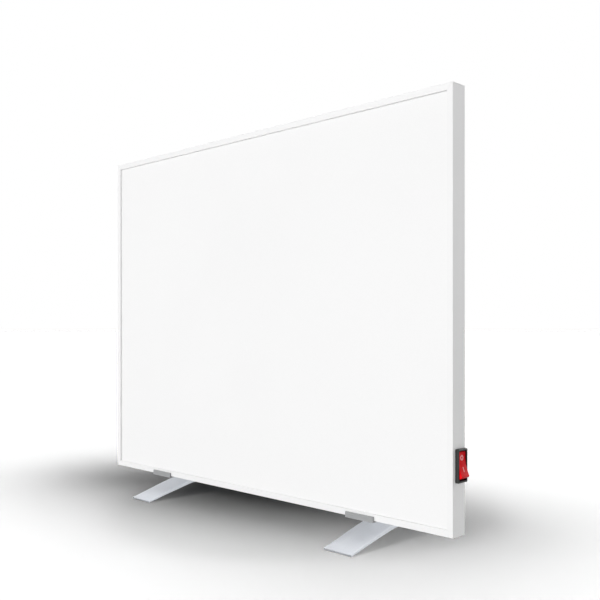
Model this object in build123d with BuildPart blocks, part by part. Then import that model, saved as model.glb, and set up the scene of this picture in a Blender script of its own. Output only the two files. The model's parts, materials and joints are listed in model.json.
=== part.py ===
from build123d import *
import os
from math import radians, sin, cos, sqrt

os.makedirs("parts", exist_ok=True)

# ---------------------------------------------------------------- dimensions
PANEL_W = 800.0          # width of the framed panel
PANEL_H = 600.0          # height of the framed panel
PANEL_T = 28.0           # depth of the frame extrusion
GROUND_GAP = 42.0        # floor to the frame's lower edge

LIP_W = 9.4              # visible width of the front lip
LIP_T = 1.6              # thickness of the lip
RECESS = 2.7             # lip front to the radiating sheet
WALL_T = 1.5             # outer wall of the extrusion
RIB_D0, RIB_D1, RIB_W = 8.0, 9.2, 8.0       # rib that holds the sheet's fold
LEDGE_D0, LEDGE_D1, LEDGE_W = 25.0, 26.5, 13.0   # ledge for the back cover

SHEET_T = 1.0            # radiating sheet
SHEET_U = 2.2            # gap from the frame's outside to the sheet's fold
BOARD_T = 1.5            # heating board
COVER_T = 1.0            # back cover
COVER_U = 2.0            # gap from the frame's outside to the back cover

SWITCH_Z = 94.0          # switch centre above the frame's lower edge
SWITCH_D = 16.6          # switch centre behind the front face
BEZEL_W, BEZEL_H, BEZEL_T = 22.0, 45.0, 5.0
BODY_W, BODY_H, BODY_DEEP = 19.4, 41.8, 21.0
WELL_W, WELL_H, WELL_DEEP = 17.8, 40.0, 19.4
ROCKER_W = 17.2
TRUNNION = 9.4           # pivot stubs, from the switch's middle to each end
PIVOT_IN = 4.15          # pivot axis inside the frame's side face
ROCKER_TILT = 11.5       # tilt of the rocker's own middle plane when off
ROCKER_TRAVEL = 23.0     # off to on
TIP_A, TIP_B, VALLEY_A = 10.6, 16.4, 8.3    # rocker's tips and middle about its pivot
ROCKER_R = sqrt(TIP_A ** 2 + TIP_B ** 2)    # radius of the rocker's ends
LEVER_TILT = 7.0

FOOT_X = (-246.75, 239.5)   # foot centres along the panel's width
FOOT_W = 53.0
CLIP_T = 2.5
CLIP_LIP = 6.0           # front lip above the frame's lower edge
BOW_MID = 60.0           # middle of the bow behind the front face
BOW_HALF = 109.0         # middle of the bow to each tip

BOX_X0, BOX_X1, BOX_Z0, BOX_Z1 = 170.0, 296.0, 62.0, 126.0
BOX_DEEP, BOX_WALL, LID_T = 26.0, 2.0, 2.5
BOX_FIX = ((192.0, 94.0), (250.0, 94.0))    # screws that hold the terminal box
GLAND_X, GLAND_D = 192.0, 41.5              # beside the foot, so the cord hangs free

# The origin is the middle of the footprint on the floor: the rocker's tip
# stands out to the right and the feet reach further back than forward.
TIP_ROUND = 1.2          # rounding on the rocker's tips
XP = -4.6135             # panel's middle plane
YF = -BOW_MID            # frame's front face
ZP = GROUND_GAP          # frame's lower edge


def X(px):
    return XP + px


def Y(d):
    return YF + d


def Z(pz):
    return ZP + pz


def block(x0, x1, d0, d1, z0, z1, mode=Mode.ADD):
    """box from panel x, depth behind the front face, height over the frame's lower edge"""
    with Locations((X((x0 + x1) / 2), Y((d0 + d1) / 2), Z((z0 + z1) / 2))):
        Box(x1 - x0, d1 - d0, z1 - z0, mode=mode)


def rod(x, z, r, d0, d1, mode=Mode.ADD):
    """round bar along the depth"""
    with Locations(Location((X(x), Y((d0 + d1) / 2), Z(z)), (90, 0, 0))):
        Cylinder(r, d1 - d0, mode=mode)


def hexbar(x, z, across, d0, d1, mode=Mode.ADD):
    """hexagonal bar along the depth"""
    with BuildSketch(Plane.XZ.offset(-Y(d1))) as hx:
        with Locations((X(x), Z(z))):
            RegularPolygon(across / 2, 6, major_radius=False)
    extrude(hx.sketch, amount=d1 - d0, mode=mode)


def member(side, u0, u1, d0, d1, mode=Mode.ADD):
    """one mitred layer of a frame side: u inward from the outside, d depth"""
    w, h = PANEL_W / 2, PANEL_H
    ring = {
        "top": [(-w + u0, h - u0), (w - u0, h - u0), (w - u1, h - u1), (-w + u1, h - u1)],
        "bottom": [(-w + u0, u0), (w - u0, u0), (w - u1, u1), (-w + u1, u1)],
        "left": [(-w + u0, u0), (-w + u1, u1), (-w + u1, h - u1), (-w + u0, h - u0)],
        "right": [(w - u0, u0), (w - u1, u1), (w - u1, h - u1), (w - u0, h - u0)],
    }[side]
    with BuildSketch(Plane.XZ.offset(-Y(d1))) as tr:
        with BuildLine():
            Polyline(*[(X(a), Z(b)) for a, b in ring], close=True)
        make_face()
    extrude(tr.sketch, amount=d1 - d0, mode=mode)


def section(side):
    """front lip, its return, outer wall, sheet rib and rear ledge"""
    member(side, 0, LIP_W, 0, LIP_T)
    member(side, LIP_W - 1.2, LIP_W, LIP_T, RECESS)
    member(side, 0, WALL_T, LIP_T, PANEL_T)
    member(side, WALL_T, RIB_W, RIB_D0, RIB_D1)
    member(side, WALL_T, LEDGE_W, LEDGE_D0, LEDGE_D1)


pieces = []


def keep(part, label):
    part.label = label
    export_step(part, f"parts/{label}.step")
    pieces.append(part)


# places of the repeated fasteners: (x, z) over the panel
COVER_SCREWS = (
    [(x, 7.0) for x in (-340, -150, 0, 150, 340)]
    + [(x, PANEL_H - 7.0) for x in (-340, -150, 0, 150, 340)]
    + [(s * (PANEL_W / 2 - 7.0), z) for s in (-1, 1) for z in (160, 300, 440)]
)
KEY_SCREWS = []
for sx in (-1, 1):
    for zc, sz in ((0.0, 1), (PANEL_H, -1)):
        KEY_SCREWS.append((sx * (PANEL_W / 2 - 34.0), zc + sz * 6.4))
        KEY_SCREWS.append((sx * (PANEL_W / 2 - 6.4), zc + sz * 34.0))
EAR_X = 20.0             # foot centre to each ear's screw
EAR_Z = 7.2
FOOT_SCREWS = [(fx + s * EAR_X, EAR_Z) for fx in FOOT_X for s in (-1, 1)]

# ------------------------------------------------------------------- frame
with BuildPart() as frame_top:
    section("top")
    for x, z in COVER_SCREWS:
        if z > 560:
            rod(x, z, 1.45, LEDGE_D0, LEDGE_D1, Mode.SUBTRACT)
    for x, z in KEY_SCREWS:
        if z > 590:
            rod(x, z, 2.1, LEDGE_D0, LEDGE_D1, Mode.SUBTRACT)

with BuildPart() as frame_bottom:
    section("bottom")
    for x, z in COVER_SCREWS:
        if z < 40:
            rod(x, z, 1.45, LEDGE_D0, LEDGE_D1, Mode.SUBTRACT)
    for x, z in KEY_SCREWS:
        if z < 10:
            rod(x, z, 2.1, LEDGE_D0, LEDGE_D1, Mode.SUBTRACT)
    # tapped holes for the screws that hold the feet
    for x, z in FOOT_SCREWS:
        rod(x, z, 2.0, LEDGE_D0, LEDGE_D1, Mode.SUBTRACT)

with BuildPart() as frame_left:
    section("left")
    for x, z in COVER_SCREWS:
        if x < -390:
            rod(x, z, 1.45, LEDGE_D0, LEDGE_D1, Mode.SUBTRACT)
    for x, z in KEY_SCREWS:
        if x < -390:
            rod(x, z, 2.1, LEDGE_D0, LEDGE_D1, Mode.SUBTRACT)

with BuildPart() as frame_right:
    section("right")
    for x, z in COVER_SCREWS:
        if x > 390:
            rod(x, z, 1.45, LEDGE_D0, LEDGE_D1, Mode.SUBTRACT)
    for x, z in KEY_SCREWS:
        if x > 390:
            rod(x, z, 2.1, LEDGE_D0, LEDGE_D1, Mode.SUBTRACT)
    # window for the switch through the outer wall, the rib and ledge cut back there
    block(PANEL_W / 2 - 2, PANEL_W / 2 + 1, SWITCH_D - BODY_W / 2 - 0.1,
          SWITCH_D + BODY_W / 2 + 0.05, SWITCH_Z - BODY_H / 2 - 0.2,
          SWITCH_Z + BODY_H / 2 + 0.2, Mode.SUBTRACT)
    block(PANEL_W / 2 - 9, PANEL_W / 2 - WALL_T, RIB_D0 - 0.01, RIB_D1 + 0.01,
          SWITCH_Z - 24, SWITCH_Z + 24, Mode.SUBTRACT)
    block(PANEL_W / 2 - 14, PANEL_W / 2 - WALL_T, LEDGE_D0 - 0.01, LEDGE_D1 + 0.01,
          SWITCH_Z - 24, SWITCH_Z + 24, Mode.SUBTRACT)

# L-shaped keys that fill the chamber behind the rib at each corner
with BuildPart() as corner_keys:
    for sx in (-1, 1):
        for zc, sz in ((0.0, 1), (PANEL_H, -1)):
            xs = sorted((sx * (PANEL_W / 2 - WALL_T), sx * (PANEL_W / 2 - WALL_T - 46)))
            zs = sorted((zc + sz * WALL_T, zc + sz * (WALL_T + 10)))
            block(xs[0], xs[1], 10.0, LEDGE_D0, zs[0], zs[1])
            xs = sorted((sx * (PANEL_W / 2 - WALL_T), sx * (PANEL_W / 2 - WALL_T - 10)))
            zs = sorted((zc + sz * WALL_T, zc + sz * (WALL_T + 46)))
            block(xs[0], xs[1], 10.0, LEDGE_D0, zs[0], zs[1])
    for x, z in KEY_SCREWS:
        rod(x, z, 2.1, 16.0, LEDGE_D0, Mode.SUBTRACT)

# set screws through the ledge into the keys, flush behind the back cover
with BuildPart() as corner_key_screws:
    for x, z in KEY_SCREWS:
        rod(x, z, 2.1, 17.0, LEDGE_D1 - 0.1)
        hexbar(x, z, 2.0, LEDGE_D1 - 2.1, LEDGE_D1, Mode.SUBTRACT)

for name, bp in (("frame_top", frame_top), ("frame_bottom", frame_bottom),
                 ("frame_left", frame_left), ("frame_right", frame_right),
                 ("corner_keys", corner_keys), ("corner_key_screws", corner_key_screws)):
    keep(bp.part, name)

# ------------------------------------------------- radiating sheet and heating sandwich
W2 = PANEL_W / 2
SHEET_D1 = RECESS + SHEET_T
BOARD_X, BOARD_Z0, BOARD_Z1 = 360.0, 20.0, 580.0
BOARD_D1 = SHEET_D1 + BOARD_T
BUS_X = 347.0            # middle of each busbar
BUS_W, BUS_T = 10.0, 0.2
TRACK_T = 0.15
MICA_D0, MICA_D1 = BOARD_D1 + BUS_T, BOARD_D1 + BUS_T + 0.4
FOIL_D1 = MICA_D1 + 0.2
CUTOUTS = ((200.0, 180.0), (120.0, 180.0))      # thermal cut-outs
WIRE_D = SWITCH_D                                # depth of the wiring layer
WIRE_R = 1.3
NEUTRAL_Z, LIVE_Z, LAMP_Z, EARTH_Z = 107.5, 98.5, 89.5, 80.5   # terminal poles
RISER_X = 285.0          # riser channel for the switched live
INSERTS = [(sx * 250.0, 300.0 + sz * 150.0) for sx in (-1, 1) for sz in (-1, 1)]
SLOT = (262.0, 274.0, 72.0, 116.0)               # opening for the leads

# shallow tray: flat face, edges folded back to the frame's rib
with BuildPart() as front_panel:
    block(-W2 + SHEET_U, W2 - SHEET_U, RECESS, SHEET_D1, SHEET_U, PANEL_H - SHEET_U)
    for s in (-1, 1):
        xs = sorted((s * (W2 - SHEET_U), s * (W2 - SHEET_U - SHEET_T)))
        block(xs[0], xs[1], SHEET_D1, RIB_D0, SHEET_U, PANEL_H - SHEET_U)
    block(-W2 + SHEET_U, W2 - SHEET_U, SHEET_D1, RIB_D0, SHEET_U, SHEET_U + SHEET_T)
    block(-W2 + SHEET_U, W2 - SHEET_U, SHEET_D1, RIB_D0,
          PANEL_H - SHEET_U - SHEET_T, PANEL_H - SHEET_U)
    # the fold is notched for the switch's body
    block(W2 - SHEET_U - SHEET_T - 1, W2 - SHEET_U + 1, 6.3, RIB_D0 + 1,
          SWITCH_Z - 24, SWITCH_Z + 24, Mode.SUBTRACT)

with BuildPart() as heating_board:
    block(-BOARD_X, BOARD_X, SHEET_D1, BOARD_D1, BOARD_Z0, BOARD_Z1)

# two copper strips, each with a solder pad for its lead
with BuildPart() as busbars:
    for s in (-1, 1):
        block(s * BUS_X - BUS_W / 2, s * BUS_X + BUS_W / 2, BOARD_D1, BOARD_D1 + BUS_T,
              30, 570)
    rod(BUS_X, NEUTRAL_Z, 3.0, BOARD_D1 + BUS_T, 6.6)
    rod(-BUS_X, CUTOUTS[0][1], 3.0, BOARD_D1 + BUS_T, 6.6)

# carbon strips in parallel between the busbars
with BuildPart() as carbon_tracks:
    for i in range(14):
        zc = 40 + 24 / 2 + i * 38.2
        block(-BUS_X + BUS_W / 2, BUS_X - BUS_W / 2, BOARD_D1, BOARD_D1 + TRACK_T,
              zc - 12, zc + 12)

with BuildPart() as mica_sheet:
    block(-BOARD_X + 1, BOARD_X - 1, MICA_D0, MICA_D1, BOARD_Z0 + 1, BOARD_Z1 - 1)
    for x, z in CUTOUTS:
        rod(x, z, 9.0, MICA_D0, MICA_D1, Mode.SUBTRACT)
    rod(BUS_X, NEUTRAL_Z, 3.8, MICA_D0, MICA_D1, Mode.SUBTRACT)
    rod(-BUS_X, CUTOUTS[0][1], 3.8, MICA_D0, MICA_D1, Mode.SUBTRACT)

with BuildPart() as reflector_foil:
    block(-BOARD_X + 2, BOARD_X - 2, MICA_D1, FOIL_D1, BOARD_Z0 + 2, BOARD_Z1 - 2)
    for x, z in CUTOUTS:
        rod(x, z, 10.0, MICA_D1, FOIL_D1, Mode.SUBTRACT)
    rod(BUS_X, NEUTRAL_Z, 5.0, MICA_D1, FOIL_D1, Mode.SUBTRACT)
    rod(-BUS_X, CUTOUTS[0][1], 5.0, MICA_D1, FOIL_D1, Mode.SUBTRACT)

# insulation with the wiring pocket, the channels and the cut-outs' wells
with BuildPart() as insulation_board:
    block(-W2 + 14, W2 - 14, FOIL_D1, 26.4, 14, PANEL_H - 14)
    block(255, W2 - 13, FOIL_D1 - 1, 27, 60, 130, Mode.SUBTRACT)
    block(RISER_X - 6, RISER_X + 6, 13, 27, 129, 186, Mode.SUBTRACT)
    block(CUTOUTS[1][0], RISER_X + 6, 13, 27, 174, 186, Mode.SUBTRACT)
    block(-BUS_X - 6, CUTOUTS[1][0], 13, 27, 174, 186, Mode.SUBTRACT)
    rod(-BUS_X, CUTOUTS[0][1], 6.0, FOIL_D1 - 1, 14, Mode.SUBTRACT)
    for x, z in CUTOUTS:
        rod(x, z, 12.0, FOIL_D1 - 1, 27, Mode.SUBTRACT)
    # room for the wall inserts and the box's screws
    for x, z in INSERTS:
        rod(x, z, 4.5, 16.5, 27, Mode.SUBTRACT)
    for x, z in BOX_FIX:
        rod(x, z, 2.0, 21, 27, Mode.SUBTRACT)

# back cover, set in the frame's rear rebate
with BuildPart() as back_cover:
    block(-W2 + COVER_U, W2 - COVER_U, LEDGE_D1, LEDGE_D1 + COVER_T, COVER_U, PANEL_H - COVER_U)
    for x, z in COVER_SCREWS + FOOT_SCREWS:
        rod(x, z, 2.2, LEDGE_D1, LEDGE_D1 + COVER_T, Mode.SUBTRACT)
    block(SLOT[0] - 1.5, SLOT[1] + 1.5, LEDGE_D1 - 1, LEDGE_D1 + 2, SLOT[2] - 1.5,
          SLOT[3] + 1.5, Mode.SUBTRACT)
    for x, z in INSERTS:
        rod(x, z, 3.5, LEDGE_D1 - 1, LEDGE_D1 + 2, Mode.SUBTRACT)
    for x, z in BOX_FIX:
        rod(x, z, 1.6, LEDGE_D1 - 1, LEDGE_D1 + 2, Mode.SUBTRACT)
    rod(270.0, 64.5, 2.0, LEDGE_D1 - 1, LEDGE_D1 + 2, Mode.SUBTRACT)

# pan-head screws round the back cover
COVER_D1 = LEDGE_D1 + COVER_T
with BuildPart() as back_cover_screws:
    for x, z in COVER_SCREWS:
        rod(x, z, 1.45, 21.5, COVER_D1)
        rod(x, z, 3.2, COVER_D1, COVER_D1 + 1.8)
    for x, z in COVER_SCREWS:
        block(x - 2.0, x + 2.0, COVER_D1 + 1.0, COVER_D1 + 1.9, z - 0.35, z + 0.35, Mode.SUBTRACT)
        block(x - 0.35, x + 0.35, COVER_D1 + 1.0, COVER_D1 + 1.9, z - 2.0, z + 2.0, Mode.SUBTRACT)

# threaded rivet nuts in the back cover, for a wall bracket
with BuildPart() as wall_inserts:
    for x, z in INSERTS:
        rod(x, z, 3.5, 17.5, COVER_D1)
        rod(x, z, 5.0, COVER_D1, COVER_D1 + 1.0)
        rod(x, z, 2.1, 17, COVER_D1 + 2, Mode.SUBTRACT)

for name, bp in (("front_panel", front_panel), ("heating_board", heating_board),
                 ("busbars", busbars), ("carbon_tracks", carbon_tracks),
                 ("mica_sheet", mica_sheet), ("reflector_foil", reflector_foil),
                 ("insulation_board", insulation_board), ("back_cover", back_cover),
                 ("back_cover_screws", back_cover_screws), ("wall_inserts", wall_inserts)):
    keep(bp.part, name)

# ------------------------------------------------------- terminal box on the back
BOX_D0 = COVER_D1
BOX_D1 = BOX_D0 + BOX_DEEP
FLOOR_D = BOX_D0 + BOX_WALL
LEAD_D = 36.0            # leads inside the box
BOSSES = [(x, z) for x in (BOX_X0 + 6, BOX_X1 - 6) for z in (BOX_Z0 + 6, BOX_Z1 - 6)]
TB_X0, TB_X1, TB_D1 = 218.0, 242.0, 43.5
POLES = (NEUTRAL_Z, LIVE_Z, LAMP_Z, EARTH_Z)


def post(x, d, r, z0, z1, mode=Mode.ADD):
    """round bar along the height"""
    with Locations((X(x), Y(d), Z((z0 + z1) / 2))):
        Cylinder(r, z1 - z0, mode=mode)


def hexpost(x, d, across, z0, z1, mode=Mode.ADD):
    """hexagonal bar along the height"""
    with BuildSketch(Plane.XY.offset(Z(z0))) as hx:
        with Locations((X(x), Y(d))):
            RegularPolygon(across / 2, 6, major_radius=False, rotation=30)
    extrude(hx.sketch, amount=z1 - z0, mode=mode)


with BuildPart() as terminal_box_base:
    block(BOX_X0, BOX_X1, BOX_D0, BOX_D1, BOX_Z0, BOX_Z1)
    fillet(terminal_box_base.edges().filter_by(Axis.Y), 4.0)
    block(BOX_X0 + BOX_WALL, BOX_X1 - BOX_WALL, FLOOR_D, BOX_D1 + 1,
          BOX_Z0 + BOX_WALL, BOX_Z1 - BOX_WALL, Mode.SUBTRACT)
    for x, z in BOSSES:
        rod(x, z, 3.6, FLOOR_D, BOX_D1)
    for x, z in BOSSES:
        rod(x, z, 1.3, BOX_D1 - 12, BOX_D1, Mode.SUBTRACT)
    for x, z in BOX_FIX:
        rod(x, z, 1.9, BOX_D0 - 1, FLOOR_D + 1, Mode.SUBTRACT)
    block(SLOT[0] - 1.5, SLOT[1] + 1.5, BOX_D0 - 1, FLOOR_D + 1, SLOT[2] - 1.5,
          SLOT[3] + 1.5, Mode.SUBTRACT)
    post(GLAND_X, GLAND_D, 8.0, BOX_Z0 - 1, BOX_Z0 + BOX_WALL + 1, Mode.SUBTRACT)

with BuildPart() as terminal_box_lid:
    block(BOX_X0, BOX_X1, BOX_D1, BOX_D1 + LID_T, BOX_Z0, BOX_Z1)
    fillet(terminal_box_lid.edges().filter_by(Axis.Y), 4.0)
    chamfer(terminal_box_lid.faces().sort_by(Axis.Y)[-1].edges(), 0.8)
    for x, z in BOSSES:
        rod(x, z, 1.7, BOX_D1 - 1, BOX_D1 + LID_T + 1, Mode.SUBTRACT)

with BuildPart() as lid_screws:
    for x, z in BOSSES:
        rod(x, z, 1.3, BOX_D1 - 11, BOX_D1 + LID_T)
        rod(x, z, 2.8, BOX_D1 + LID_T, BOX_D1 + LID_T + 1.6)
    for x, z in BOSSES:
        block(x - 2.0, x + 2.0, BOX_D1 + LID_T + 0.8, BOX_D1 + LID_T + 2, z - 0.3, z + 0.3, Mode.SUBTRACT)
        block(x - 0.3, x + 0.3, BOX_D1 + LID_T + 0.8, BOX_D1 + LID_T + 2, z - 2.0, z + 2.0, Mode.SUBTRACT)

with BuildPart() as box_fixing_screws:
    for x, z in BOX_FIX:
        rod(x, z, 1.6, LEDGE_D1 - 4, FLOOR_D)
        rod(x, z, 3.0, FLOOR_D, FLOOR_D + 1.7)
    for x, z in BOX_FIX:
        block(x - 2.2, x + 2.2, FLOOR_D + 0.9, FLOOR_D + 2, z - 0.35, z + 0.35, Mode.SUBTRACT)

# cable gland: threaded neck, hexagon flange and domed cap, bored for the cord
with BuildPart() as cable_gland_body:
    post(GLAND_X, GLAND_D, 7.9, BOX_Z0, BOX_Z0 + 9)
    hexpost(GLAND_X, GLAND_D, 20.0, BOX_Z0 - 5, BOX_Z0)
    post(GLAND_X, GLAND_D, 8.4, BOX_Z0 - 9, BOX_Z0 - 5)
    post(GLAND_X, GLAND_D, 5.6, BOX_Z0 - 10, BOX_Z0 + 10, Mode.SUBTRACT)

with BuildPart() as cable_gland_nut:
    hexpost(GLAND_X, GLAND_D, 20.0, BOX_Z0 + BOX_WALL, BOX_Z0 + BOX_WALL + 4)
    post(GLAND_X, GLAND_D, 7.9, BOX_Z0, BOX_Z0 + 10, Mode.SUBTRACT)

with BuildPart() as cable_gland_cap:
    hexpost(GLAND_X, GLAND_D, 19.0, BOX_Z0 - 17, BOX_Z0 - 5.6)
    post(GLAND_X, GLAND_D, 8.6, BOX_Z0 - 21, BOX_Z0 - 17)
    post(GLAND_X, GLAND_D, 8.4, BOX_Z0 - 17.5, BOX_Z0 - 5, Mode.SUBTRACT)
    post(GLAND_X, GLAND_D, 4.2, BOX_Z0 - 22, BOX_Z0 - 16, Mode.SUBTRACT)
    fillet(cable_gland_cap.faces().sort_by(Axis.Z)[0].edges().sort_by(
        lambda e: e.length)[-1], 2.5)

with BuildPart() as cable_gland_seal:
    post(GLAND_X, GLAND_D, 8.2, BOX_Z0 - 17.5, BOX_Z0 - 9)
    post(GLAND_X, GLAND_D, 3.6, BOX_Z0 - 18, BOX_Z0 - 8, Mode.SUBTRACT)

# four-pole terminal block with wire entries on both sides
with BuildPart() as terminal_block:
    block(TB_X0, TB_X1, FLOOR_D, TB_D1, 74.5, 113.5)
    for z in POLES:
        block(TB_X0 - 1, TB_X0 + 5, LEAD_D - 1.8, LEAD_D + 1.8, z - 1.8, z + 1.8, Mode.SUBTRACT)
        block(TB_X1 - 5, TB_X1 + 1, LEAD_D - 1.8, LEAD_D + 1.8, z - 1.8, z + 1.8, Mode.SUBTRACT)
        for x in (TB_X0 + 7, TB_X1 - 7):
            rod(x, z, 2.3, TB_D1 - 4, TB_D1 + 1, Mode.SUBTRACT)
    for z in (94.0, 85.0, 103.0):
        block(TB_X0 - 1, TB_X1 + 1, TB_D1 - 2.5, TB_D1 + 1, z - 0.5, z + 0.5, Mode.SUBTRACT)

with BuildPart() as terminal_screws:
    for z in POLES:
        for x in (TB_X0 + 7, TB_X1 - 7):
            rod(x, z, 2.1, TB_D1 - 4, TB_D1 - 1.2)
    for z in POLES:
        for x in (TB_X0 + 7, TB_X1 - 7):
            block(x - 1.7, x + 1.7, TB_D1 - 2.0, TB_D1, z - 0.3, z + 0.3, Mode.SUBTRACT)

# rubber edging of the opening that the leads pass through
with BuildPart() as lead_grommet:
    block(SLOT[0] - 1.5, SLOT[1] + 1.5, LEDGE_D1, FLOOR_D, SLOT[2] - 1.5, SLOT[3] + 1.5)
    block(SLOT[0] - 2.8, SLOT[1] + 2.8, FLOOR_D, FLOOR_D + 1.2, SLOT[2] - 2.8, SLOT[3] + 2.8)
    block(SLOT[0], SLOT[1], LEDGE_D1 - 1, FLOOR_D + 2, SLOT[2], SLOT[3], Mode.SUBTRACT)

# bimetal cut-outs: metal cap, moulded body and two blades each
with BuildPart() as thermal_cutouts:
    for x, z in CUTOUTS:
        rod(x, z, 8.0, BOARD_D1 + TRACK_T, 9.4)
        rod(x, z, 7.2, 9.4, 15.0)
        for s in (-1, 1):
            block(x + s * 5.4 - 0.4, x + s * 5.4 + 0.4, 15.0, 20.5, z - 2.2, z + 2.2)

# earth: stud pressed into the back cover, ring lug and nut
EARTH_X, EARTH_ZS = 270.0, 64.5
with BuildPart() as earth_stud:
    rod(EARTH_X, EARTH_ZS, 2.0, 18.5, COVER_D1)
with BuildPart() as earth_lug:
    block(EARTH_X - 4, EARTH_X + 4, 22.5, 23.3, EARTH_ZS - 4, EARTH_ZS + 6.5)
    rod(EARTH_X, EARTH_ZS, 2.0, 22, 24, Mode.SUBTRACT)
with BuildPart() as earth_nut:
    hexbar(EARTH_X, EARTH_ZS, 7.0, 23.3, LEDGE_D1)
    rod(EARTH_X, EARTH_ZS, 2.0, 23, 27, Mode.SUBTRACT)

# ------------------------------------------------------------------ inner leads
SW_TERM_X = W2 - PIVOT_IN - 26.0     # inner ends of the switch's blades


def lead(points, radii):
    """insulated lead along straight runs joined by arcs"""
    pts = [(X(a), Y(b), Z(c)) for a, b, c in points]
    if len(pts) == 2:
        with BuildLine() as route:
            Line(*pts)
    else:
        with BuildLine() as route:
            FilletPolyline(*pts, radius=radii)
    with BuildSketch(Plane(origin=route.line @ 0, z_dir=route.line % 0)) as core:
        Circle(WIRE_R)
    sweep(sections=core.sketch, path=route.line)


SW_LAMP_Z, SW_COM_Z, SW_LIVE_Z = SWITCH_Z - 12.0, SWITCH_Z, SWITCH_Z + 12.0
with BuildPart() as lead_live_supply:
    lead([(TB_X1 - 3, LEAD_D, LIVE_Z), (268, LEAD_D, LIVE_Z), (268, WIRE_D, LIVE_Z),
          (305, WIRE_D, LIVE_Z), (330, WIRE_D, SW_COM_Z), (SW_TERM_X, WIRE_D, SW_COM_Z)],
         [5, 5, 20, 20])
with BuildPart() as lead_live_switched:
    lead([(SW_TERM_X, WIRE_D, SW_LIVE_Z), (RISER_X, WIRE_D, SW_LIVE_Z),
          (RISER_X, WIRE_D, 180), (CUTOUTS[0][0] + 5.8, WIRE_D, 180)], [10, 10])
with BuildPart() as lead_cutout_link:
    lead([(CUTOUTS[0][0] - 5.8, WIRE_D, 180), (CUTOUTS[1][0] + 5.8, WIRE_D, 180)], [])
with BuildPart() as lead_element_live:
    lead([(CUTOUTS[1][0] - 5.8, WIRE_D, 180), (-BUS_X, WIRE_D, 180), (-BUS_X, 6.6, 180)], [5])
with BuildPart() as lead_element_neutral:
    lead([(TB_X1 - 3, LEAD_D, NEUTRAL_Z), (268, LEAD_D, NEUTRAL_Z), (268, 11.2, NEUTRAL_Z),
          (BUS_X, 11.2, NEUTRAL_Z), (BUS_X, 6.6, NEUTRAL_Z)], [5, 5, 3])
with BuildPart() as lead_lamp_neutral:
    lead([(TB_X1 - 3, LEAD_D, LAMP_Z), (268, LEAD_D, LAMP_Z), (268, WIRE_D, LAMP_Z),
          (300, WIRE_D, LAMP_Z), (325, WIRE_D, SW_LAMP_Z), (SW_TERM_X, WIRE_D, SW_LAMP_Z)],
         [5, 5, 20, 20])
with BuildPart() as lead_earth:
    lead([(TB_X1 - 3, LEAD_D, EARTH_Z), (268, LEAD_D, EARTH_Z), (268, 22.9, EARTH_Z),
          (268, 22.9, EARTH_ZS + 6.5)], [5, 4])

for name, bp in (("terminal_box_base", terminal_box_base), ("terminal_box_lid", terminal_box_lid),
                 ("lid_screws", lid_screws), ("box_fixing_screws", box_fixing_screws),
                 ("cable_gland_body", cable_gland_body), ("cable_gland_nut", cable_gland_nut),
                 ("cable_gland_cap", cable_gland_cap), ("cable_gland_seal", cable_gland_seal),
                 ("terminal_block", terminal_block), ("terminal_screws", terminal_screws),
                 ("lead_grommet", lead_grommet), ("thermal_cutouts", thermal_cutouts),
                 ("earth_stud", earth_stud), ("earth_lug", earth_lug), ("earth_nut", earth_nut),
                 ("lead_live_supply", lead_live_supply),
                 ("lead_live_switched", lead_live_switched),
                 ("lead_cutout_link", lead_cutout_link),
                 ("lead_element_live", lead_element_live),
                 ("lead_element_neutral", lead_element_neutral),
                 ("lead_lamp_neutral", lead_lamp_neutral), ("lead_earth", lead_earth)):
    keep(bp.part, name)

# ---------------------------------------------------------------- rocker switch
PIV_X = W2 - PIVOT_IN
SW_A_FLOOR = PIVOT_IN - WELL_DEEP        # floor of the well, outward from the pivot
SW_A_BACK = PIVOT_IN - BODY_DEEP         # back of the housing


def ablock(a0, a1, w0, w1, b0, b1, mode=Mode.ADD):
    """box about the pivot: outward, across the depth, up"""
    block(PIV_X + a0, PIV_X + a1, SWITCH_D + w0, SWITCH_D + w1, SWITCH_Z + b0, SWITCH_Z + b1, mode)


def turned(a, b, tilt):
    """point about the pivot, its lower end leaning outward by the tilt"""
    t = radians(tilt)
    return (X(PIV_X + a * cos(t) - b * sin(t)), Z(SWITCH_Z + a * sin(t) + b * cos(t)))


def across(w1):
    """plane of a profile whose extrusion comes forward from this depth"""
    return Plane.XZ.offset(-Y(SWITCH_D + w1))


def leaning(a, b, r, length, tilt, mode=Mode.ADD):
    """round bar along the leaning outward direction, centred at (a, b)"""
    x, z = turned(a, b, tilt)
    with Locations(Location((x, Y(SWITCH_D), z), (0, 90 - tilt, 0))):
        Cylinder(r, length, mode=mode)


with BuildPart() as switch_housing:
    ablock(PIVOT_IN, PIVOT_IN + BEZEL_T, -BEZEL_W / 2, BEZEL_W / 2, -BEZEL_H / 2, BEZEL_H / 2)
    fillet(switch_housing.edges().filter_by(Axis.X), 1.6)
    chamfer(switch_housing.faces().sort_by(Axis.X)[-1].edges(), 1.0)
    ablock(SW_A_BACK, PIVOT_IN, -BODY_W / 2, BODY_W / 2, -BODY_H / 2, BODY_H / 2)
    for s in (-1, 1):
        b = sorted((s * BODY_H / 2, s * (BODY_H / 2 + 1.0)))
        ablock(PIVOT_IN - 4.5, PIVOT_IN - 1.6, -2.5, 2.5, b[0], b[1])
    ablock(SW_A_FLOOR, PIVOT_IN + BEZEL_T + 1, -WELL_W / 2, WELL_W / 2,
           -WELL_H / 2, WELL_H / 2, Mode.SUBTRACT)
    rod(PIV_X, SWITCH_Z, 1.56, SWITCH_D - 12, SWITCH_D + 12, Mode.SUBTRACT)
    for b in (-12.0, 0.0, 12.0):
        ablock(SW_A_BACK - 1, SW_A_FLOOR + 1, -3.0, 3.0, b - 0.4, b + 0.4, Mode.SUBTRACT)

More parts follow.
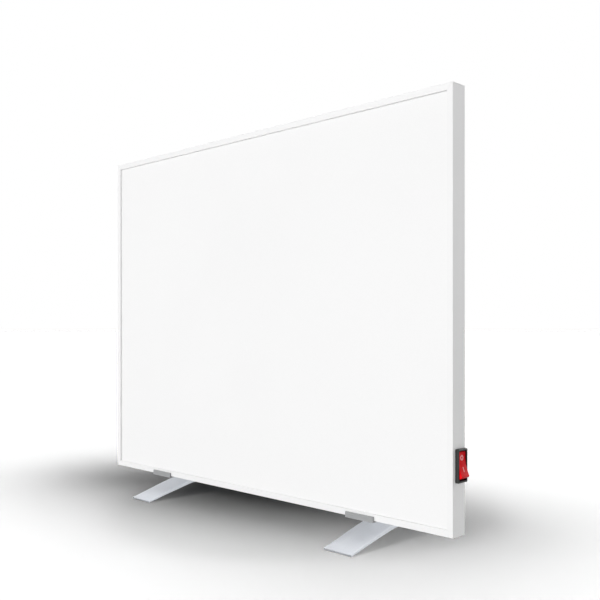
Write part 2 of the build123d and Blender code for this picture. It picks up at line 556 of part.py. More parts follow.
# rocker: hollow shell with cheeks, trunnions and the plunger's boss
with BuildPart() as switch_rocker:
    with BuildSketch(across(ROCKER_W / 2)) as outer:
        with BuildLine():
            low, high = turned(1.0, -sqrt(ROCKER_R ** 2 - 1), ROCKER_TILT), turned(1.0, sqrt(ROCKER_R ** 2 - 1), ROCKER_TILT)
            tip0, tip1 = turned(TIP_A, -TIP_B, ROCKER_TILT), turned(TIP_A, TIP_B, ROCKER_TILT)
            mid0, mid1 = turned(ROCKER_R * sin(radians(18)), -ROCKER_R * cos(radians(18)), ROCKER_TILT), turned(ROCKER_R * sin(radians(18)), ROCKER_R * cos(radians(18)), ROCKER_TILT)
            ThreePointArc(low, mid0, tip0)
            ThreePointArc(tip0, turned(VALLEY_A, 0, ROCKER_TILT), tip1)
            ThreePointArc(tip1, mid1, high)
            Line(high, low)
        make_face()
        fillet(outer.vertices().filter_by(
            lambda v: v.X > X(PIV_X) + 5.5), TIP_ROUND)
    extrude(amount=ROCKER_W)
    fillet(switch_rocker.edges().filter_by(
        lambda e: e.center().X > X(PIV_X) + 6.0 and abs(e.tangent_at(0.5).Y) < 0.1), 0.45)
    with BuildSketch(across(ROCKER_W / 2 - 1.2)) as inner:
        with BuildLine():
            i = [turned(-1.0, -18.2, ROCKER_TILT), turned(1.0, -18.2, ROCKER_TILT),
                 turned(9.0, -15.6, ROCKER_TILT), turned(6.9, 0, ROCKER_TILT),
                 turned(9.0, 15.6, ROCKER_TILT), turned(1.0, 18.2, ROCKER_TILT),
                 turned(-1.0, 18.2, ROCKER_TILT)]
            Line(i[0], i[1])
            Line(i[1], i[2])
            ThreePointArc(i[2], i[3], i[4])
            Line(i[4], i[5])
            Line(i[5], i[6])
            Line(i[6], i[0])
        make_face()
    extrude(amount=ROCKER_W - 2.4, mode=Mode.SUBTRACT)
    for w in (-ROCKER_W / 2, ROCKER_W / 2 - 1.2):
        rod(PIV_X, SWITCH_Z, 3.4, SWITCH_D + w, SWITCH_D + w + 1.2)
    rod(PIV_X, SWITCH_Z, 1.5, SWITCH_D - TRUNNION, SWITCH_D - ROCKER_W / 2 + 0.5)
    rod(PIV_X, SWITCH_Z, 1.5, SWITCH_D + ROCKER_W / 2 - 0.5, SWITCH_D + TRUNNION)
    leaning(2.6, 0, 2.6, 9.2, ROCKER_TILT)
    leaning(1.25, 0, 1.7, 8.5, ROCKER_TILT, Mode.SUBTRACT)

# sprung plunger in the boss
with BuildPart() as switch_plunger:
    leaning(-2.95, 0, 1.6, 3.9, ROCKER_TILT)
    with Locations((turned(-4.9, 0, ROCKER_TILT)[0], Y(SWITCH_D), turned(-4.9, 0, ROCKER_TILT)[1])):
        Sphere(1.6)

# compression spring as one coiled wire
SPRING_A0, SPRING_A1, SPRING_R, SPRING_WIRE = -0.75, 5.25, 1.25, 0.2
with BuildPart() as switch_spring:
    px, pz = turned(SPRING_A0, 0, ROCKER_TILT)
    with BuildLine() as coil:
        Helix(pitch=1.2, height=SPRING_A1 - SPRING_A0, radius=SPRING_R,
              center=(px, Y(SWITCH_D), pz),
              direction=(cos(radians(ROCKER_TILT)), 0, sin(radians(ROCKER_TILT))))
    with BuildSketch(Plane(origin=coil.line @ 0, z_dir=coil.line % 0)) as wire:
        Circle(SPRING_WIRE)
    sweep(sections=wire.sketch, path=coil.line, is_frenet=True)

# see-saw contact, tipped by the plunger about its knife edge
LEV_A = -8.0
with BuildPart() as contact_lever:
    def lev(a, b):
        t = radians(-LEVER_TILT)
        return (X(PIV_X + LEV_A + a * cos(t) - b * sin(t)), Z(SWITCH_Z + a * sin(t) + b * cos(t)))
    with BuildSketch(across(2.5)) as blade:
        with BuildLine():
            Polyline(lev(0.2, -5.5), lev(0.8, -5.5), lev(0.8, 5.5), lev(0.2, 5.5), close=True)
        make_face()
    extrude(amount=5.0)
    with BuildSketch(across(1.2)) as tipc:
        with BuildLine():
            Polyline(lev(-0.6, 3.4), lev(0.2, 3.4), lev(0.2, 5.4), lev(-0.6, 5.4), close=True)
        make_face()
    extrude(amount=2.4)

with BuildPart() as switch_terminals:
    # common, with the knife edge
    ablock(-26, -8.2, -3, 3, -0.4, 0.4)
    # switched live, with its fixed contact under the lever's upper end
    ablock(-26, -10.4, -3, 3, 11.6, 12.4)
    ablock(-11.2, -10.4, -3, 3, 3.2, 12.4)
    ablock(-10.4, -9.7, -1.4, 1.4, 3.4, 5.6)
    # neutral of the lamp
    ablock(-26, -13.4, -3, 3, -12.4, -11.6)

with BuildPart() as neon_lamp:
    with Locations(Location((X(PIV_X - 10.4), Y(SWITCH_D), Z(SWITCH_Z - 12)), (90, 0, 0))):
        Cylinder(2.0, 9.6)
    fillet(neon_lamp.edges(), 1.2)

with BuildPart() as lamp_leads:
    for w in (-3.35, 3.35):
        with Locations(Location((X(PIV_X + (SW_A_FLOOR - 12.4) / 2), Y(SWITCH_D + w),
                                 Z(SWITCH_Z - 12)), (0, 90, 0))):
            Cylinder(0.3, -SW_A_FLOOR - 12.4)

# ----------------------------------------------------------------------- feet
CROWN_Z, CROWN_UNDER = -13.0, -18.0
TAIL_T = 2.5
PAD_D0, PAD_D1, PAD_W = -44.5, -30.0, 38.0
TIP_TOP, TIP_UNDER = (-49.0, -39.0), (-48.2, -41.6)
UNDER_END = (-26.0, -36.05)
UNDER_SLOPE = (UNDER_END[1] - TIP_UNDER[1]) / (UNDER_END[0] - TIP_UNDER[0])


def other(p):
    """the same point on the rear half of the bow"""
    return (2 * BOW_MID - p[0], p[1])


def yz(p):
    return (Y(p[0]), Z(p[1]))


def bow(fx):
    top = [TIP_TOP, (-29, -33.6), (-8, -27.6), (10, -22.5), (26, -18.2), (38, -15.3),
           (46, -13.7), (53, CROWN_Z)]
    under = [UNDER_END, (-9.7, -31.9), (10.8, -27.0), (30.4, -22.5), (45, -19.3),
             (54, CROWN_UNDER)]
    with BuildSketch(Plane.YZ.offset(X(fx - FOOT_W / 2))) as sk:
        with BuildLine():
            Spline(*[yz(p) for p in top], tangents=[(1, 0.262), (1, 0)])
            Line(yz(top[-1]), yz(other(top[-1])))
            Spline(*[yz(other(p)) for p in reversed(top)], tangents=[(1, 0), (1, -0.262)])
            Line(yz(other(TIP_TOP)), yz(other(TIP_UNDER)))
            Line(yz(other(TIP_UNDER)), yz(other(UNDER_END)))
            Spline(*[yz(other(p)) for p in under], tangents=[(-1, UNDER_SLOPE), (-1, 0)])
            Line(yz(other(under[-1])), yz(under[-1]))
            Spline(*[yz(p) for p in reversed(under)], tangents=[(-1, 0), (-1, -UNDER_SLOPE)])
            Line(yz(UNDER_END), yz(TIP_UNDER))
            Line(yz(TIP_UNDER), yz(TIP_TOP))
        make_face()
    extrude(sk.sketch, amount=FOOT_W)
    for s in (-1, 1):
        post(fx + s * 8, BOW_MID, 2.2, CROWN_UNDER - 2, CROWN_Z + 2, Mode.SUBTRACT)


def bracket(fx):
    block(fx - FOOT_W / 2, fx + FOOT_W / 2, -CLIP_T, 30.5, -CLIP_T, 0)
    block(fx - FOOT_W / 2, fx + FOOT_W / 2, -CLIP_T, 0, 0, CLIP_LIP)
    for s in (-1, 1):
        xs = sorted((fx + s * 14.5, fx + s * FOOT_W / 2))
        block(xs[0], xs[1], PANEL_T, 30.5, 0, 13)
        rod(fx + s * EAR_X, EAR_Z, 2.2, 27, 32, Mode.SUBTRACT)
    with BuildSketch(Plane.YZ.offset(X(fx - 13.5))) as tail:
        with BuildLine():
            Polyline(*[yz(p) for p in (
                (29.5, 0), (31.5, 0), (50.0, CROWN_Z + TAIL_T), (70, CROWN_Z + TAIL_T),
                (70, CROWN_Z), (49.3, CROWN_Z), (30.8, -CLIP_T), (29.5, -CLIP_T))], close=True)
        make_face()
    extrude(tail.sketch, amount=27)
    for s in (-1, 1):
        post(fx + s * 8, BOW_MID, 2.2, CROWN_Z - 1, CROWN_Z + TAIL_T + 1, Mode.SUBTRACT)


with BuildPart() as foot_bow_left:
    bow(FOOT_X[0])
with BuildPart() as foot_bow_right:
    bow(FOOT_X[1])
with BuildPart() as foot_bracket_left:
    bracket(FOOT_X[0])
with BuildPart() as foot_bracket_right:
    bracket(FOOT_X[1])

# pan-head screws down through the bracket's tail and the bow, nuts beneath
with BuildPart() as foot_screws:
    for fx in FOOT_X:
        for s in (-1, 1):
            post(fx + s * 8, BOW_MID, 2.0, CROWN_UNDER - 4, CROWN_Z + TAIL_T)
            post(fx + s * 8, BOW_MID, 3.8, CROWN_Z + TAIL_T, CROWN_Z + TAIL_T + 2.2)
            hexpost(fx + s * 8, BOW_MID, 2.5, CROWN_Z + TAIL_T + 1.0, CROWN_Z + TAIL_T + 3, Mode.SUBTRACT)
with BuildPart() as foot_nuts:
    for fx in FOOT_X:
        for s in (-1, 1):
            hexpost(fx + s * 8, BOW_MID, 7.0, CROWN_UNDER - 3.2, CROWN_UNDER)
            post(fx + s * 8, BOW_MID, 2.0, CROWN_UNDER - 4, CROWN_UNDER + 1, Mode.SUBTRACT)

# screws through the bracket's ears into the frame's ledge
with BuildPart() as foot_fixing_screws:
    for x, z in FOOT_SCREWS:
        rod(x, z, 2.0, 22.0, 30.5)
        rod(x, z, 3.7, 30.5, 32.7)
    for x, z in FOOT_SCREWS:
        block(x - 2.6, x + 2.6, 31.6, 33, z - 0.4, z + 0.4, Mode.SUBTRACT)
        block(x - 0.4, x + 0.4, 31.6, 33, z - 2.6, z + 2.6, Mode.SUBTRACT)

# wedge-shaped anti-slip pads under the four tips
with BuildPart() as foot_pads:
    for fx in FOOT_X:
        for end in (lambda p: p, other):
            top0 = TIP_UNDER[1] + (PAD_D0 - TIP_UNDER[0]) * UNDER_SLOPE
            top1 = TIP_UNDER[1] + (PAD_D1 - TIP_UNDER[0]) * UNDER_SLOPE
            with BuildSketch(Plane.YZ.offset(X(fx - PAD_W / 2))) as wedge:
                with BuildLine():
                    Polyline(*[yz(end(p)) for p in (
                        (PAD_D0, -GROUND_GAP), (PAD_D1, -GROUND_GAP), (PAD_D1, top1),
                        (PAD_D0, top0))], close=True)
                make_face()
            extrude(wedge.sketch, amount=PAD_W)

for name, bp in (("switch_housing", switch_housing), ("switch_rocker", switch_rocker),
                 ("switch_plunger", switch_plunger), ("switch_spring", switch_spring),
                 ("contact_lever", contact_lever), ("switch_terminals", switch_terminals),
                 ("neon_lamp", neon_lamp), ("lamp_leads", lamp_leads),
                 ("foot_bow_left", foot_bow_left), ("foot_bow_right", foot_bow_right),
                 ("foot_bracket_left", foot_bracket_left),
                 ("foot_bracket_right", foot_bracket_right),
                 ("foot_screws", foot_screws), ("foot_nuts", foot_nuts),
                 ("foot_fixing_screws", foot_fixing_screws), ("foot_pads", foot_pads)):
    keep(bp.part, name)

low = [min(getattr(p.bounding_box().min, k) for p in pieces) for k in "XYZ"]
high = [max(getattr(p.bounding_box().max, k) for p in pieces) for k in "XYZ"]
print("box", [round(v, 3) for v in low], [round(v, 3) for v in high])
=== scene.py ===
import bpy
import bmesh
import json
import math
from mathutils import Matrix, Vector


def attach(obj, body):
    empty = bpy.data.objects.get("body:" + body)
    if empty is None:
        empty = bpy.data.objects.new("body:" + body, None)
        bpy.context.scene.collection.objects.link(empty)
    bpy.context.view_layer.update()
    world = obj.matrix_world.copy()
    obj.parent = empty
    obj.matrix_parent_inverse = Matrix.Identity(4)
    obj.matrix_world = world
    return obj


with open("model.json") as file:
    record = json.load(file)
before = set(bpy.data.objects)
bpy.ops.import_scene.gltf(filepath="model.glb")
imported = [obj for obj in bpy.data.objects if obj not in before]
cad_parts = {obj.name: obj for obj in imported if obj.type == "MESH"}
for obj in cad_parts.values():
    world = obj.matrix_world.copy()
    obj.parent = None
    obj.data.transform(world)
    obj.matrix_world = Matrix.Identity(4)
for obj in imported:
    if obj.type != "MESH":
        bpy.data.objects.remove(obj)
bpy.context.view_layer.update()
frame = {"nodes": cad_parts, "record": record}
nodes = frame["nodes"]
scene = bpy.context.scene

# ------------------------------------------------------------------ places
XP, YF, ZP = -4.6135, -60.0, 42.0      # panel middle, front face, lower edge, mm
PIV_X, PIV_D, PIV_Z = 395.85, 16.6, 94.0


def P(x, d, z):
    """metres, from panel x, depth behind the front face, height over the lower edge"""
    return Vector(((XP + x) / 1000, (YF + d) / 1000, (ZP + z) / 1000))


# ------------------------------------------------------------------ camera
cam_data = bpy.data.cameras.new("camera")
cam = bpy.data.objects.new("camera", cam_data)
scene.collection.objects.link(cam)
cam_data.sensor_width = 36.0
cam_data.sensor_fit = "HORIZONTAL"
cam_data.lens = 48.6
cam_data.shift_y = 25.0 / 600.0
cam_data.clip_start = 0.05
cam_data.clip_end = 50.0
cam.location = ((XP + 1008.546) / 1000, (YF + 14 - 907.676) / 1000, (ZP + 280.202) / 1000)
fwd = Vector((-0.7062967, 0.7079159, 0.0))
cam.rotation_euler = (math.pi / 2, 0.0, math.atan2(-fwd.x, fwd.y))
scene.camera = cam


# --------------------------------------------------------------- materials
def new_mat(name):
    m = bpy.data.materials.new(name)
    m.use_nodes = True
    nt = m.node_tree
    nt.nodes.clear()
    out = nt.nodes.new("ShaderNodeOutputMaterial")
    bsdf = nt.nodes.new("ShaderNodeBsdfPrincipled")
    nt.links.new(bsdf.outputs[0], out.inputs["Surface"])
    return m, nt, bsdf


def coords(nt, scale=(1, 1, 1)):
    tc = nt.nodes.new("ShaderNodeTexCoord")
    mp = nt.nodes.new("ShaderNodeMapping")
    mp.inputs["Scale"].default_value = scale
    nt.links.new(tc.outputs["Object"], mp.inputs["Vector"])
    return mp.outputs["Vector"]


def noise(nt, vec, scale, detail=3.0, rough=0.5):
    n = nt.nodes.new("ShaderNodeTexNoise")
    n.inputs["Scale"].default_value = scale
    n.inputs["Detail"].default_value = detail
    n.inputs["Roughness"].default_value = rough
    nt.links.new(vec, n.inputs["Vector"])
    return n.outputs["Fac"]


def ramp(nt, fac, stops):
    r = nt.nodes.new("ShaderNodeValToRGB")
    el = r.color_ramp.elements
    while len(el) < len(stops):
        el.new(0.5)
    for e, (p, c) in zip(el, stops):
        e.position = p
        e.color = (c[0], c[1], c[2], 1.0)
    nt.links.new(fac, r.inputs["Fac"])
    return r.outputs["Color"]


def remap(nt, fac, a, b, c, d):
    r = nt.nodes.new("ShaderNodeMapRange")
    r.inputs["From Min"].default_value = a
    r.inputs["From Max"].default_value = b
    r.inputs["To Min"].default_value = c
    r.inputs["To Max"].default_value = d
    nt.links.new(fac, r.inputs["Value"])
    return r.outputs["Result"]


def bump(nt, bsdf, height, distance, strength=1.0):
    b = nt.nodes.new("ShaderNodeBump")
    b.inputs["Strength"].default_value = strength
    b.inputs["Distance"].default_value = distance
    nt.links.new(height, b.inputs["Height"])
    nt.links.new(b.outputs["Normal"], bsdf.inputs["Normal"])


def coated(name, col, rough, peel_scale, peel_depth, spread=0.012, grime=0.02):
    """powder coat: orange peel, fine speckle, faint unevenness of tone"""
    m, nt, b = new_mat(name)
    v = coords(nt)
    broad = noise(nt, v, 3.0, 2.0)
    fine = noise(nt, v, peel_scale, 2.0, 0.6)
    c0 = [max(0, k - spread - grime) for k in col]
    c1 = [k for k in col]
    c2 = [min(1, k + spread) for k in col]
    mix = nt.nodes.new("ShaderNodeMix")
    mix.data_type = "RGBA"
    mix.blend_type = "MULTIPLY"
    mix.inputs["Factor"].default_value = 1.0
    nt.links.new(ramp(nt, broad, [(0.3, c0), (0.5, c1), (0.7, c2)]), mix.inputs["A"])
    nt.links.new(ramp(nt, fine, [(0.25, (0.975, 0.975, 0.975)), (0.6, (1, 1, 1))]), mix.inputs["B"])
    nt.links.new(mix.outputs["Result"], b.inputs["Base Color"])
    nt.links.new(remap(nt, fine, 0.3, 0.7, rough - 0.06, rough + 0.08), b.inputs["Roughness"])
    bump(nt, b, fine, peel_depth, 0.5)
    return m


def metal(name, col, rough, grain=(1, 1, 1), grain_scale=600.0, depth=0.00003, spread=0.05, metallic=1.0):
    """metal with drawn grain along one direction"""
    m, nt, b = new_mat(name)
    v = coords(nt, grain)
    g = noise(nt, v, grain_scale, 4.0, 0.65)
    w = noise(nt, coords(nt), 12.0, 3.0)
    c0 = [max(0, k - spread) for k in col]
    c1 = [min(1, k + spread) for k in col]
    mix = nt.nodes.new("ShaderNodeMix")
    mix.data_type = "RGBA"
    mix.blend_type = "MULTIPLY"
    mix.inputs["Factor"].default_value = 1.0
    nt.links.new(ramp(nt, g, [(0.3, c0), (0.7, c1)]), mix.inputs["A"])
    nt.links.new(ramp(nt, w, [(0.3, (0.94, 0.94, 0.94)), (0.65, (1, 1, 1))]), mix.inputs["B"])
    nt.links.new(mix.outputs["Result"], b.inputs["Base Color"])
    b.inputs["Metallic"].default_value = metallic
    nt.links.new(remap(nt, g, 0.3, 0.7, rough - 0.07, rough + 0.09), b.inputs["Roughness"])
    bump(nt, b, g, depth, 0.4)
    return m


def plastic(name, col, rough, tex_scale=1400.0, depth=0.00004, spread=0.02, coat=0.0, spec=0.5, ior=1.5):
    """moulded plastic with a fine spark-eroded texture"""
    m, nt, b = new_mat(name)
    v = coords(nt)
    f = noise(nt, v, tex_scale, 2.0, 0.6)
    w = noise(nt, v, 40.0, 3.0)
    c0 = [max(0, k * (1 - 4 * spread)) for k in col]
    c1 = [min(1, k * (1 + 2 * spread)) for k in col]
    nt.links.new(ramp(nt, w, [(0.3, c0), (0.7, c1)]), b.inputs["Base Color"])
    nt.links.new(remap(nt, f, 0.3, 0.7, rough - 0.05, rough + 0.08), b.inputs["Roughness"])
    bump(nt, b, f, depth, 0.5)
    b.inputs["Specular IOR Level"].default_value = spec
    b.inputs["IOR"].default_value = ior
    if coat:
        b.inputs["Coat Weight"].default_value = coat
        b.inputs["Coat Roughness"].default_value = 0.08
    return m


M = {
    "frame": coated("frame_powder", (0.893, 0.893, 0.894), 0.42, 1500.0, 0.00006, 0.007, 0.008),
    "sheet": coated("sheet_powder", (0.918, 0.917, 0.917), 0.55, 900.0, 0.00009, 0.005, 0.006),
    "back": coated("back_powder", (0.78, 0.785, 0.79), 0.5, 1100.0, 0.00007),
    "screw": metal("zinc_screw", (0.62, 0.62, 0.60), 0.34, grain_scale=1800.0),
    "key": metal("cast_key", (0.55, 0.55, 0.56), 0.55, grain_scale=500.0, depth=0.0001),
    "board": plastic("laminate", (0.20, 0.24, 0.16), 0.5, 800.0),
    "carbon": plastic("carbon_film", (0.02, 0.02, 0.02), 0.6, 900.0),
    "copper": metal("copper", (0.80, 0.45, 0.28), 0.3, grain=(1, 1, 0.05)),
    "mica": plastic("mica", (0.62, 0.53, 0.38), 0.45, 300.0, spread=0.06),
    "foil": metal("foil", (0.85, 0.85, 0.86), 0.2, grain=(0.1, 1, 1), grain_scale=200.0),
    "wool": plastic("mineral_board", (0.66, 0.58, 0.36), 0.95, 300.0, 0.0006, spread=0.06),
    "box": plastic("box_plastic", (0.80, 0.80, 0.79), 0.5, spread=0.006),
    "gland": plastic("gland_nylon", (0.66, 0.66, 0.65), 0.45, spread=0.008),
    "block": plastic("block_nylon", (0.84, 0.82, 0.74), 0.4),
    "rubber": plastic("rubber", (0.03, 0.03, 0.03), 0.75, 900.0, 0.00008, spec=0.3),
    "cutout": plastic("phenolic", (0.06, 0.055, 0.05), 0.5),
    "brass": metal("brass", (0.80, 0.62, 0.30), 0.28),
    "brown": plastic("lead_brown", (0.22, 0.09, 0.04), 0.45),
    "blue": plastic("lead_blue", (0.05, 0.16, 0.50), 0.45),
    "green": plastic("lead_green", (0.14, 0.42, 0.08), 0.45),
    "black": plastic("switch_black", (0.030, 0.031, 0.030), 0.42, 1600.0, 0.00005, spread=0.05, spec=0.3),
    "red": plastic("switch_red", (0.84, 0.006, 0.012), 0.20, 500.0, 0.00001, spread=0.03, spec=0.2, ior=1.28),
    "mark": plastic("mark_print", (1.0, 0.36, 0.38), 0.5, 1200.0),
    "acetal": plastic("acetal", (0.82, 0.82, 0.78), 0.4),
    "spring": metal("spring_wire", (0.55, 0.55, 0.56), 0.25),
    "bow": metal("bow_anodised", (0.70, 0.725, 0.77), 0.34, grain=(30, 1, 1), grain_scale=60.0, depth=0.00002, spread=0.02, metallic=0.2),
    "clip": metal("clip_satin", (0.33, 0.335, 0.34), 0.45, grain=(1, 30, 30), grain_scale=60.0, metallic=0.3),
}
m, nt, b = new_mat("lamp_glass")
b.inputs["Base Color"].default_value = (0.95, 0.8, 0.72, 1)
b.inputs["Transmission Weight"].default_value = 0.9
nt.links.new(remap(nt, noise(nt, coords(nt), 300.0), 0.3, 0.7, 0.02, 0.08), b.inputs["Roughness"])
M["glass"] = m

SLOT_MAT = {
    "frame_white": "frame", "panel_white": "sheet", "back_white": "back", "screw_steel": "screw",
    "cast_key": "key", "board_green": "board", "carbon": "carbon", "copper": "copper",
    "mica": "mica", "foil": "foil", "insulation": "wool", "box_plastic": "box",
    "gland_plastic": "gland", "block_plastic": "block", "rubber_black": "rubber",
    "ceramic_body": "cutout", "brass": "brass", "wire_brown": "brown", "wire_blue": "blue",
    "wire_green": "green", "switch_black": "black", "switch_red": "red",
    "plunger_white": "acetal", "spring_steel": "spring", "lamp_glass": "glass",
    "foot_alu": "bow", "clip_grey": "clip", "pad_rubber": "rubber",
}
for sp in frame["record"]["subparts"]:
    o = nodes[sp["node"]]
    mat = M[SLOT_MAT[sp["material_slot"]]]
    o.data.materials.clear()
    o.data.materials.append(mat)

# ------------------------------------------------- softened edges on the made parts
BEVEL = {
    "frame_top": 0.35, "frame_bottom": 0.35, "frame_left": 0.35, "frame_right": 0.35,
    "front_panel": 0.25, "back_cover": 0.2, "foot_bow_left": 0.5, "foot_bow_right": 0.5,
    "foot_bracket_left": 0.5, "foot_bracket_right": 0.5, "terminal_box_lid": 0.4,
    "terminal_box_base": 0.4, "switch_housing": 0.25, "switch_rocker": 0.2,
    "cable_gland_cap": 0.4, "cable_gland_body": 0.3, "foot_pads": 0.6,
    "back_cover_screws": 0.25, "lid_screws": 0.25, "foot_screws": 0.25,
    "foot_fixing_screws": 0.25, "wall_inserts": 0.2,
}
for n, w in BEVEL.items():
    o = nodes[n]
    weld = o.modifiers.new("weld", "WELD")
    weld.merge_threshold = 0.000002
    bev = o.modifiers.new("edge", "BEVEL")
    bev.width = w / 1000
    bev.segments = 2
    bev.limit_method = "ANGLE"
    bev.angle_limit = math.radians(32)
    bev.harden_normals = False

# --------------------------------------------------------- marks on the rocker
TILT = math.radians(11.5)
FACE_R, FACE_C = 59.62, 67.92     # the rocker's hollow face: radius, and centre out from the pivot


def on_face(b, w, lift):
    """point at b along the rocker's face, w across it and lift off it"""
    ang = b / FACE_R
    a = FACE_C - (FACE_R - lift) * math.cos(ang)
    c = (FACE_R - lift) * math.sin(ang)
    return P(PIV_X + a * math.cos(TILT) - c * math.sin(TILT), PIV_D + w,
             PIV_Z + a * math.sin(TILT) + c * math.cos(TILT))


def mark(name, outer, inner):
    """thin printed mark on the face, from its outline and the outline of its hole"""
    bm = bmesh.new()
    loops = []
    for outline, lift in ((outer, -0.06), (outer, 0.09), (inner, 0.09), (inner, -0.06)):
        loops.append([bm.verts.new(on_face(b, w, lift)) for b, w in outline])
    n = len(outer)
    for i in range(4):
        p, q = loops[i], loops[(i + 1) % 4]
        for k in range(n):
            bm.faces.new((p[k], p[(k + 1) % n], q[(k + 1) % n], q[k]))
    bmesh.ops.recalc_face_normals(bm, faces=bm.faces)
    me = bpy.data.meshes.new(name)
    bm.to_mesh(me)
    bm.free()
    me.materials.append(M["mark"])
    o = bpy.data.objects.new(name, me)
    scene.collection.objects.link(o)
    for f in me.polygons:
        f.use_smooth = False
    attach(o, "rocker")
    return o


def loop(b0, r_b, r_w, straight=0.0, n=64):
    """round or long outline along the face"""
    out = []
    for k in range(n):
        t = math.tau * (k + 0.5) / n
        shift = straight if math.cos(t) > 0 else -straight
        out.append((b0 + shift + r_b * math.cos(t), r_w * math.sin(t)))
    return out


mark_off = mark("switch_mark_off", loop(9.0, 3.6, 3.8), loop(9.0, 1.5, 1.6))
mark_on = mark("switch_mark_on", loop(-6.6, 0.75, 0.75, 2.7), loop(-6.6, 0.02, 0.02, 2.1))

# -------------------------------------------------------------- stage and light
bm = bmesh.new()
bmesh.ops.create_grid(bm, x_segments=8, y_segments=8, size=60.0)
me = bpy.data.meshes.new("floor")
bm.to_mesh(me)
bm.free()
floor = bpy.data.objects.new("floor", me)
scene.collection.objects.link(floor)
m, nt, b = new_mat("floor_white")
b.inputs["Roughness"].default_value = 0.9
b.inputs["Specular IOR Level"].default_value = 0.0
nt.links.new(ramp(nt, noise(nt, coords(nt), 1.5), [(0.3, (0.118, 0.118, 0.118)), (0.7, (0.122, 0.122, 0.122))]),
             b.inputs["Base Color"])
me.materials.append(m)

world = bpy.data.worlds.new("world")
scene.world = world
world.use_nodes = True
wt = world.node_tree
wt.nodes.clear()
w_out = wt.nodes.new("ShaderNodeOutputWorld")
w_light = wt.nodes.new("ShaderNodeBackground")
w_seen = wt.nodes.new("ShaderNodeBackground")
w_mix = wt.nodes.new("ShaderNodeMixShader")
w_path = wt.nodes.new("ShaderNodeLightPath")
w_light.inputs["Color"].default_value = (1, 1, 1, 1)
w_light.inputs["Strength"].default_value = 0.03
w_seen.inputs["Color"].default_value = (1, 1, 1, 1)
w_seen.inputs["Strength"].default_value = 1.0
wt.links.new(w_path.outputs["Is Camera Ray"], w_mix.inputs["Fac"])
wt.links.new(w_light.outputs[0], w_mix.inputs[1])
wt.links.new(w_seen.outputs[0], w_mix.inputs[2])
wt.links.new(w_mix.outputs[0], w_out.inputs["Surface"])


# the object and the floor are lit apart, as when a flag shades the floor in a studio
def group(name, things):
    c = bpy.data.collections.new(name)
    for o in things:
        c.objects.link(o)
    return c


marks = [mark_off, mark_on]
bows = [nodes[n] for n in nodes if n.startswith("foot_bow")]
feet_all = [nodes[n] for n in nodes if n.startswith("foot_")]
lit = group("lit_object", list(nodes.values()) + marks)
switch_parts = [nodes["switch_rocker"], nodes["switch_housing"]] + marks
case = group("lit_case", [o for o in nodes.values() if o not in switch_parts])
switch = group("lit_switch", switch_parts)
main = group("lit_panel", [nodes[n] for n in nodes if not n.startswith("foot_bow")] + marks)
panel = group("lit_panel_front", [nodes[n] for n in nodes if not n.startswith("foot_bow") and nodes[n] not in switch_parts])
feet = group("lit_feet", bows)
floor_only = group("lit_floor", [floor])
floor.visible_diffuse = False


def sun(name, source, energy, spread, receivers, blockers):
    """soft light from a direction, seen by one group of surfaces and stopped by another"""
    l = bpy.data.lights.new(name, "SUN")
    l.energy = energy
    l.angle = math.radians(spread)
    o = bpy.data.objects.new(name, l)
    scene.collection.objects.link(o)
    o.location = Vector(source).normalized() * 3.0
    o.rotation_euler = (-Vector(source)).to_track_quat("-Z", "Y").to_euler()
    o.light_linking.receiver_collection = receivers
    o.light_linking.blocker_collection = blockers
    return o


def flag(name, cx, cy, half_x, half_y, turn, z):
    """oval card over the floor that only casts shade"""
    bm = bmesh.new()
    ring = []
    for k in range(96):
        u, v = half_x * math.cos(k * math.tau / 96), half_y * math.sin(k * math.tau / 96)
        ring.append(bm.verts.new((cx + u * math.cos(turn) - v * math.sin(turn),
                                  cy + u * math.sin(turn) + v * math.cos(turn), z)))
    bm.faces.new(ring)
    me = bpy.data.meshes.new(name)
    bm.to_mesh(me)
    bm.free()
    o = bpy.data.objects.new(name, me)
    scene.collection.objects.link(o)
    me.materials.append(M["rubber"])
    for k in ("visible_camera", "visible_diffuse", "visible_glossy", "visible_transmission"):
        setattr(o, k, False)
    return o


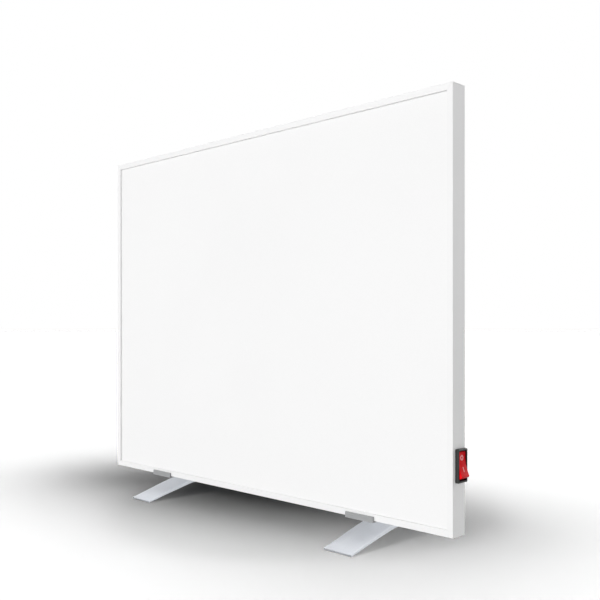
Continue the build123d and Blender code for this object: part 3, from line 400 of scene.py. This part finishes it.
flag_core = flag("flag_core", -0.130, 0.080, 0.567, 0.251, 0.203, 0.294)
flag_wide = flag("flag_wide", -0.130, -0.007, 0.704, 0.255, -0.329, 0.250)
flag_tall = flag("flag_tall", -0.130, 0.080, 0.491, 0.155, 0.082, 1.369)
flag_near = flag("flag_near", -0.008, 0.080, 0.335, 0.360, -0.049, 0.057)
by_object = group("stops_object_light", list(nodes.values()))
by_feet = group("stops_feet_light", bows)
by_core = group("stops_core_light", [flag_core])
by_near = group("stops_near_light", [flag_near] + feet_all)
by_tall = group("stops_tall_light", [flag_tall] + feet_all)
by_wide = group("stops_wide_light", [flag_wide])

sun("front_light", (-0.30, -1.0, 0.20), 2.245, 60, panel, by_object)
sun("right_light", (1.0, -0.25, 0.12), 1.265, 80, case, by_object)
sun("switch_front", (-0.30, -1.0, 0.42), 3.1, 60, switch, by_object)
sun("switch_right", (1.0, -0.25, 0.25), 1.05, 80, switch, by_object)
sun("left_light", (-1.0, -0.2, 0.25), 1.0, 80, lit, by_object)
sun("top_light", (0.0, 0.05, 1.0), 0.1, 70, main, by_object)
sun("back_light", (0.1, 1.0, 0.35), 2.0, 60, main, by_object)
sun("low_light", (0.15, -0.25, -1.0), 0.85, 100, lit, by_object)
sun("feet_fill", (-0.2, -0.5, 1.0), 1.40, 80, feet, by_feet)
sun("feet_back", (0.1, 1.0, 1.2), 0.7, 60, feet, by_feet)
sun("feet_side", (1.0, -0.15, 0.05), 1.1, 40, feet, by_feet)
FLOOR = math.pi / 0.12            # energy that makes the bare floor white
sun("floor_core", (0.0, 0.0, 1.0), 0.494 * FLOOR, 80, floor_only, by_core)
sun("floor_near", (0.0, 0.0, 1.0), 0.094 * FLOOR, 80, floor_only, by_near)
sun("floor_tall", (0.0, 0.0, 1.0), 0.230 * FLOOR, 12, floor_only, by_tall)
sun("floor_wide", (0.0, 0.0, 1.0), 0.207 * FLOOR, 80, floor_only, by_wide)

scene.view_settings.view_transform = "Standard"
scene.view_settings.look = "None"
scene.view_settings.exposure = 0.0
scene.view_settings.gamma = 1.0
